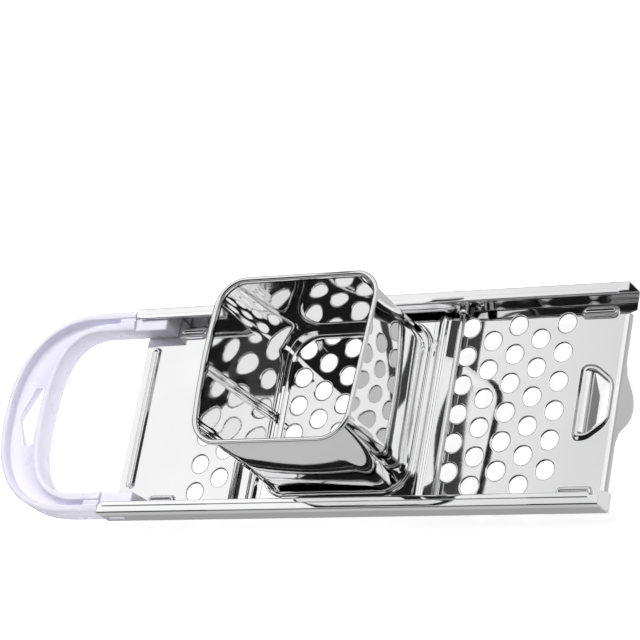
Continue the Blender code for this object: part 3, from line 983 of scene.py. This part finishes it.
def square_section(half_x, half_y, radius, side_steps=20, corner_steps=12):
    """A rounded square, counter-clockwise, with points along its flats as well: (u, v, flat)."""
    points = []
    corners = ((1, 1, 0), (-1, 1, 90), (-1, -1, 180), (1, -1, 270))
    middles = [Vector((u * (half_x - radius), v * (half_y - radius))) for u, v, _ in corners]
    for i, (_, _, start) in enumerate(corners):
        middle = middles[i]
        bend = arc(middle.x, middle.y, radius, start, start + 90, corner_steps)
        points += [(u, v, 0.0) for u, v in bend]
        turn = math.radians(start + 90)
        outward = Vector((math.cos(turn), math.sin(turn))) * radius
        for t in even(0.0, 1.0, side_steps)[1:-1]:
            point = middle.lerp(middles[(i + 1) % 4], t) + outward
            points.append((point.x, point.y, math.sin(math.pi * t)))
    return points


def belly(up):
    """How far the middle of a wall stands out at a share of the hopper's height."""
    return WALL_BULGE * math.sin(math.pi * up) * (1 + 0.5 * math.sin(2 * math.pi * up))


def hopper_loop(z, offset):
    """The hopper's outline at one height, offset from the middle of its wall."""
    foot, top = HOPPER_LOW[2], HOPPER_HIGH[2]
    down = min(1.0, max(0.0, (top - z) / (top - foot)))
    up = 1 - down
    half_x = HOPPER_TOP_HALF_X + (HOPPER_FOOT_HALF_X - HOPPER_TOP_HALF_X) * down + offset
    half_y = HOPPER_TOP_HALF_Y + (HOPPER_FOOT_HALF_Y - HOPPER_TOP_HALF_Y) * down**3 + offset
    corner = HOPPER_TOP_CORNER + (HOPPER_CORNER - HOPPER_TOP_CORNER) * down + offset
    front_belly = FRONT_WALL_BULGE * math.sin(math.pi * up)
    loop = []
    for u, v, flat in square_section(half_x, half_y, corner):
        across = min(1.0, abs(v) / half_y)
        push = belly(up) * flat
        if abs(u) >= half_x - MERGE_DISTANCE:
            u += front_belly * flat if u > 0 else -push
        elif abs(v) >= half_y - MERGE_DISTANCE:
            v += math.copysign(push, v)
        skew = RIM_SKEW * v / half_y if u > 0 else -RIM_BOW * (1 - across**2)
        u += up * (HOPPER_TOP_SHIFT_X + skew)
        loop.append((CARRIAGE_X + u, v, z))
    return loop


def hopper_tube():
    """The tube's outer face, its rolled rim and its inner face."""
    rim_z = HOPPER_HIGH[2] - RIM_RADIUS
    half_wall = HOPPER_WALL / 2
    heights = even(HOPPER_LOW[2], rim_z - RIM_RADIUS, WALL_ROWS)
    rows = [hopper_loop(z, half_wall) for z in heights]
    for degrees in even(-75, 180, RIM_STEPS):
        angle = math.radians(degrees)
        offset = RIM_RADIUS - half_wall + RIM_RADIUS * math.cos(angle)
        rows.append(hopper_loop(rim_z + RIM_RADIUS * math.sin(angle), offset))
    rows += [hopper_loop(z, -half_wall) for z in reversed(heights)]
    rows.append(rows[0])
    return skin("hopper_tube", rows, merged=True)


def lap_seam():
    foot, top = HOPPER_LOW[2], HOPPER_HIGH[2]
    rows = []
    for z in even(foot + LAP_SEAM_FOOT, top - RIM_RADIUS - LAP_SEAM_TOP, WALL_ROWS):
        up = (z - foot) / (top - foot)
        wall_x = HOPPER_FOOT_HALF_X + (HOPPER_TOP_HALF_X - HOPPER_FOOT_HALF_X) * up + belly(up)
        face_x = CARRIAGE_X - wall_x + up * (HOPPER_TOP_SHIFT_X - RIM_BOW) + HOPPER_WALL / 2
        row = []
        for across, rise in SEAM_SECTION:
            y = LAP_SEAM_Y + LAP_SEAM_HALF * across
            row.append((face_x - LAP_SEAM_SINK + LAP_SEAM_RISE * rise, y, z))
        rows.append(row)
    return skin("lap_seam", rows, closed_u=False)


def build_hopper(material):
    hopper = joined("rolled_rim_hopper", [hopper_tube(), lap_seam()], material)
    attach(hopper, "hopper_carriage")
    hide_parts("hopper")


def on_carriage(u, v, w):
    return (CARRIAGE_X + u, v, w)


def box_outline(half_x, half_y, radius, steps):
    corners = [(-half_x, -half_y), (half_x, -half_y), (half_x, half_y), (-half_x, half_y)]
    return rounded(corners, radius, steps)


def square_ring(half_x, half_y, corner, z, steps):
    return [(CARRIAGE_X + u, v, z) for u, v, _ in square_section(half_x, half_y, corner, 6, steps)]


def end_flange(side, z0):
    rows = []
    for y in even(-FLANGE_REACH_Y, FLANGE_REACH_Y, FLANGE_COLUMNS):
        rows.append([(CARRIAGE_X + side * u, y, z0 + rise) for u, rise in FLANGE_PROFILE])
    return thicken(strip("end_flange", rows), FRAME_THICKNESS)


def ledge(z0):
    """The flat round the hopper's opening."""
    half = FRAME_THICKNESS / 2
    outline = box_outline(LEDGE_HALF_X, LEDGE_HALF_Y, LEDGE_CORNER, 2)
    plate = block("ledge_plate", outline, z0 - half, z0 + half, on_carriage)
    opening = box_outline(OPENING_HALF_X, OPENING_HALF_Y, OPENING_CORNER, 12)
    return cut(plate, block("opening_cutter", opening, -CUTTER_REACH, 4 * CUTTER_REACH, on_carriage))


def opening_bead(z0):
    """The edge of the opening, pressed up a little all round."""
    rows = []
    for t in even(0.0, 1.0, OPENING_BEAD_STEPS):
        grow = OPENING_BEAD_WIDTH * (1 - t) - OPENING_BEAD_INSET
        rise = OPENING_BEAD_RISE * math.sin(math.pi * (0.25 + 0.75 * t)) if t > 0.0 else 0.0
        z = z0 + FRAME_THICKNESS / 2 + rise
        half_x, half_y = OPENING_HALF_X + grow, OPENING_HALF_Y + grow
        rows.append(square_ring(half_x, half_y, OPENING_BEAD_CORNER + grow, z, 12))
    return skin("opening_bead", rows)


def side_wall(side, z0):
    """The turned-up edge that runs under a rail's lip, eased down towards its ends."""
    reach = FRAME_HIGH[1]
    bend_y = reach - SIDE_WALL_INSET
    wall_y = reach - FRAME_THICKNESS / 2
    section = [(SIDE_WALL_INNER_Y, z0), (bend_y, z0)]
    section += arc(bend_y, z0 + SIDE_WALL_BEND, SIDE_WALL_BEND, -90, 0, 5)
    section += [(wall_y, z0 + SIDE_WALL_BEND_TOP), (wall_y, FRAME_HIGH[2])]
    rows = []
    for x in even(-SIDE_WALL_HALF_LENGTH, SIDE_WALL_HALF_LENGTH, SIDE_WALL_COLUMNS):
        ease = smoothstep((SIDE_WALL_HALF_LENGTH - abs(x)) / SIDE_WALL_EASE)
        share = SIDE_WALL_LEAST + (1 - SIDE_WALL_LEAST) * ease
        rows.append([(CARRIAGE_X + x, side * y, z0 + (z - z0) * share) for y, z in section])
    return thicken(strip("side_wall", rows), FRAME_THICKNESS)


def foot_collar(z0):
    rows = []
    spare = HOPPER_WALL / 2 + GAP + FRAME_THICKNESS
    for grow, rise in FOOT_COLLAR_PROFILE:
        half_x = HOPPER_FOOT_HALF_X + spare + grow
        half_y = HOPPER_FOOT_HALF_Y + spare + grow
        corner = HOPPER_CORNER + FOOT_COLLAR_CORNER + grow
        rows.append(square_ring(half_x, half_y, corner, z0 + FRAME_THICKNESS / 2 + rise, 10))
    return skin("foot_collar", rows)


def build_frame(material, edge_material):
    """The carriage's base: a thin sheet with a folded ridge at both ends, side walls and a ledge."""
    z0 = FRAME_LOW[2] + FRAME_FLOOR_LIFT
    parts = [end_flange(-1, z0), end_flange(1, z0), ledge(z0), opening_bead(z0)]
    parts += [side_wall(-1, z0), side_wall(1, z0), foot_collar(z0)]
    base = joined("carriage_base", parts, material, 30)
    base.data.materials.append(edge_material)
    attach(base, "hopper_carriage")
    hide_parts("carriage_frame")


def turned(name, node, radius, bevel, material, bore=0.0):
    """A round bar or sleeve along Y in the place of a CAD node, with rounded ends."""
    low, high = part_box(node)
    x, middle, z = [0.5 * (a + b) for a, b in zip(low, high)]
    half = 0.5 * (high[1] - low[1])
    small = 0.3 * bevel
    profile = [(bore, -half), (radius - bevel, -half), (radius - small, -half + small)]
    profile += [(radius, -half + bevel), (radius, half - bevel)]
    profile += [(radius - small, half - small), (radius - bevel, half), (bore, half)]
    rows = []
    for r, y in profile:
        ring = circle(0.0, 0.0, max(r, 10 * MERGE_DISTANCE), BAR_SIDES)
        rows.append([(x + u, middle + y, z + v) for u, v in ring])
    if bore:
        rows.append(rows[0])
    piece = skin(name, rows, merged=True, material=material)
    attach(piece, "hopper_carriage")
    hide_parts(node)


def build_rods(material):
    for end in ("front", "rear"):
        turned(f"{end}_wire", f"{end}_rod", ROD_RADIUS, ROD_BEVEL, material)
        for place in ("far", "near"):
            names = (f"{end}_{place}_sleeve", f"{end}_{place}_collar")
            turned(*names, SLEEVE_RADIUS, SLEEVE_BEVEL, material, SLEEVE_BORE)


# Studio

FLOOR_GAP = 0.0002
PATCH_GAP = 0.0001
FLOOR_SIZE = 6.0
FLOOR_COLOUR = (0.86, 0.86, 0.86, 1.0)
FLOOR_GLOW = 0.66
FLOOR_IN_GLOSS = 0.54
UNDER_IN_GLOSS = 0.85
SHADE_IN_GLOSS = 0.37
DEEP_SHADE_IN_GLOSS = 0.22
DARK_IN_GLOSS = 0.05
LIGHT_IN_GLOSS = 0.80
WHITE = (1.0, 1.0, 1.0, 1.0)
BLACK = (0.0, 0.0, 0.0, 1.0)
BANK_DIM = (0.75, 0.75, 0.755)
BANK_BRIGHT = (0.99, 0.99, 0.99)
BANK_DIM_X = -0.07
BANK_DIM_RUN = 0.20
LEFT_GREY = 0.046
BEHIND_GREY = 0.46
FRONT_GREY = 0.28
HIGH_FRONT_GREY = 0.012
LAMP_TARGET = Vector((0.0, 0.0, 0.02))
LENS = 176.37
SENSOR_WIDTH = 36.0
CAMERA_PLACE = Vector((0.68077, -0.46267, 1.08172))
CAMERA_TARGET = Vector((-0.03735, 0.04424, 0.0006))
CAMERA_UP = Vector((0.0461, 0.91587, 0.39881))


def flat_corners(low_x, high_x, low_y, high_y, z):
    return ((low_x, low_y, z), (high_x, low_y, z), (high_x, high_y, z), (low_x, high_y, z))


def plane(name, centre, size_x, size_y, material):
    """A level sheet of the studio, with its own origin in its middle."""
    bm = bmesh.new()
    half_x, half_y = 0.5 * size_x, 0.5 * size_y
    corners = flat_corners(-half_x, half_x, -half_y, half_y, 0.0)
    bm.faces.new([bm.verts.new(corner) for corner in corners])
    piece = new_object(name, bm, material)
    piece.location = centre
    return piece


def card(name, corners, material):
    """A flat card that only the gloss sees."""
    bm = bmesh.new()
    bm.faces.new([bm.verts.new(corner) for corner in corners])
    piece = new_object(name, bm, material)
    seen_in_gloss_only(piece)


def black_base(name, roughness=0.5):
    made = Nodes(name)
    made.shader.inputs["Base Color"].default_value = BLACK
    made.shader.inputs["Specular IOR Level"].default_value = 0.0
    made.shader.inputs["Roughness"].default_value = roughness
    return made


def glow(name, strength):
    made = black_base(name, 1.0)
    made.shader.inputs["Emission Color"].default_value = WHITE
    made.shader.inputs["Emission Strength"].default_value = strength
    return made.material


def seen_in_gloss_only(piece):
    piece.visible_camera = False
    piece.visible_diffuse = False
    piece.visible_transmission = False
    piece.visible_volume_scatter = False
    piece.visible_shadow = False


def build_floor():
    """A pale floor that glows a little, to stay white under the sheet, and what the gloss sees of it."""
    made = Nodes("pale_floor")
    made.shader.inputs["Base Color"].default_value = FLOOR_COLOUR
    made.shader.inputs["Roughness"].default_value = 0.9
    made.shader.inputs["Specular IOR Level"].default_value = 0.0
    made.shader.inputs["Emission Color"].default_value = WHITE
    made.shader.inputs["Emission Strength"].default_value = FLOOR_GLOW
    floor_z = cad_box[0][2] - FLOOR_GAP
    middle = (0.0, 0.0, floor_z)
    floor = plane("floor", middle, FLOOR_SIZE, FLOOR_SIZE, made.material)
    floor.visible_glossy = False

    grey = glow("floor_gloss_grey", FLOOR_IN_GLOSS)
    seen_in_gloss_only(plane("floor_in_gloss", middle, FLOOR_SIZE, FLOOR_SIZE, grey))
    patch_z = floor_z + PATCH_GAP
    bright = glow("under_gloss", UNDER_IN_GLOSS)
    seen_in_gloss_only(plane("bright_patch_in_gloss", (-0.055, 0.0, patch_z), 0.15, 0.092, bright))
    shade = glow("shaded_floor_in_gloss", SHADE_IN_GLOSS)
    card("shaded_floor_before", flat_corners(-0.20, 0.20, -0.058, -0.046, patch_z), shade)
    deep_shade = glow("deep_shade_in_gloss", DEEP_SHADE_IN_GLOSS)
    card("shaded_floor_under_hook", flat_corners(0.1035, 0.1095, -0.016, 0.020, patch_z), deep_shade)


def build_reflectors():
    """What the steel mirrors: a white bank behind, a dark strip past the front, a dark card beyond the
    hopper and a light one before it."""
    made = black_base("bank_glow")
    made.shader.inputs["Emission Strength"].default_value = 1.0
    x = made.axis("ShaderNodeTexCoord", "Object", "X")
    away = made.calculate("ABSOLUTE", made.calculate("ADD", x, -BANK_DIM_X))
    tone = made.mix(made.ramp(away, 0.0, BANK_DIM_RUN), BANK_DIM, BANK_BRIGHT)
    made.link(tone, made.shader.inputs["Emission Color"])
    seen_in_gloss_only(plane("white_bank", (0.0, 0.31, 0.36), 1.1, 0.62, made.material))
    dark = glow("card_dark", DARK_IN_GLOSS)
    light = glow("card_light", LIGHT_IN_GLOSS)
    strip_x, low_y, high_y = 0.120, -0.067, 0.233
    lean = ((low_y, 0.2155), (high_y, 0.1105), (high_y, 0.0770), (low_y, 0.1820))
    card("dark_strip", [(strip_x, y, z) for y, z in lean], dark)
    beyond = ((-0.0135, 0.044), (0.0030, 0.042), (0.0030, 0.076), (-0.0135, 0.076))
    card("dark_card_beyond", at_height(beyond, 0.075), dark)
    card("light_card_before", flat_corners(-0.13, 0.04, -0.074, -0.049, 0.10), light)


def world_ramp(tree, source, low, high, low_value, high_value):
    """A smooth change between two values, each a number or a socket."""
    node = tree.nodes.new("ShaderNodeMapRange")
    node.interpolation_type = "SMOOTHSTEP"
    node.inputs["From Min"].default_value = low
    node.inputs["From Max"].default_value = high
    for name, value in (("To Min", low_value), ("To Max", high_value)):
        if isinstance(value, float):
            node.inputs[name].default_value = value
        else:
            tree.links.new(value, node.inputs[name])
    tree.links.new(source, node.inputs["Value"])
    return node.outputs["Result"]


def build_world():
    """Studio surroundings by direction: grey all round, darker to the left, black high in front."""
    world = bpy.data.worlds.new("studio")
    bpy.context.scene.world = world
    world.use_nodes = True
    tree = world.node_tree
    place = tree.nodes.new("ShaderNodeTexCoord")
    split = tree.nodes.new("ShaderNodeSeparateXYZ")
    tree.links.new(place.outputs["Generated"], split.inputs["Vector"])
    behind = world_ramp(tree, split.outputs["X"], -0.80, -0.50, LEFT_GREY, BEHIND_GREY)
    before = world_ramp(tree, split.outputs["Z"], 0.45, 0.60, FRONT_GREY, HIGH_FRONT_GREY)
    tone = world_ramp(tree, split.outputs["Y"], -0.10, 0.12, before, behind)
    tree.links.new(tone, tree.nodes["Background"].inputs["Color"])


def area_light(name, location, size, power):
    """A lamp turned to the object that leaves no highlight of its own in the steel."""
    data = bpy.data.lights.new(name, "AREA")
    data.shape = "RECTANGLE"
    data.size, data.size_y = size
    data.energy = power
    lamp = bpy.data.objects.new(name, data)
    bpy.context.scene.collection.objects.link(lamp)
    lamp.location = location
    aim = LAMP_TARGET - Vector(location)
    lamp.rotation_euler = aim.to_track_quat("-Z", "Y").to_euler()
    lamp.visible_glossy = False


def build_camera():
    data = bpy.data.cameras.new("camera")
    data.lens = LENS
    data.sensor_width = SENSOR_WIDTH
    data.clip_start = 0.01
    camera = bpy.data.objects.new("camera", data)
    bpy.context.scene.collection.objects.link(camera)
    back = (CAMERA_PLACE - CAMERA_TARGET).normalized()
    right = CAMERA_UP.cross(back).normalized()
    turn = Matrix((right, back.cross(right), back)).transposed()
    camera.matrix_world = Matrix.Translation(CAMERA_PLACE) @ turn.to_4x4()
    bpy.context.scene.camera = camera


sheet_look = {"roughness": MIRROR_ROUGHNESS, "grain": 0.25, "wave": 0.10}
hopper_look = {"roughness": MIRROR_ROUGHNESS, "grain": 0.15, "wave": 0.18}
wire_look = {"roughness": WIRE_ROUGHNESS, "grain": 0.4, "wave": 0.05}
under_rim = HOPPER_HIGH[2] - 2 * RIM_RADIUS
steel = polished_steel("polished_sheet_steel", STEEL_TINT, **sheet_look)
flat_steel = polished_steel("polished_flat_steel", FLAT_TINT, **sheet_look, worn=False)
# The hopper gets a painted shade line under its rolled rim
tube_steel = polished_steel("polished_hopper_steel", HOPPER_TINT, **hopper_look, shade_line_z=under_rim)
# The wire's downward faces get painted shade
wire_steel = polished_steel("drawn_wire_steel", WIRE_TINT, **wire_look, painted_shade_below=True)
# The cut-edge grey also serves as painted shade round the hook's opening
cut_edge = sheared_edge("sheared_steel_edge")
build_sheet(steel, cut_edge, flat_steel)
build_grip(lilac_plastic("moulded_lilac_plastic"))
build_hopper(tube_steel)
build_frame(steel, cut_edge)
build_rods(wire_steel)
build_floor()
build_reflectors()
build_world()
area_light("key", (-0.3, 0.4, 1.2), (1.0, 1.0), 15.0)
area_light("fill", (0.9, -0.6, 0.45), (1.0, 0.8), 3.4)
build_camera()
bpy.context.scene.view_settings.view_transform = "Standard"
bpy.context.view_layer.update()
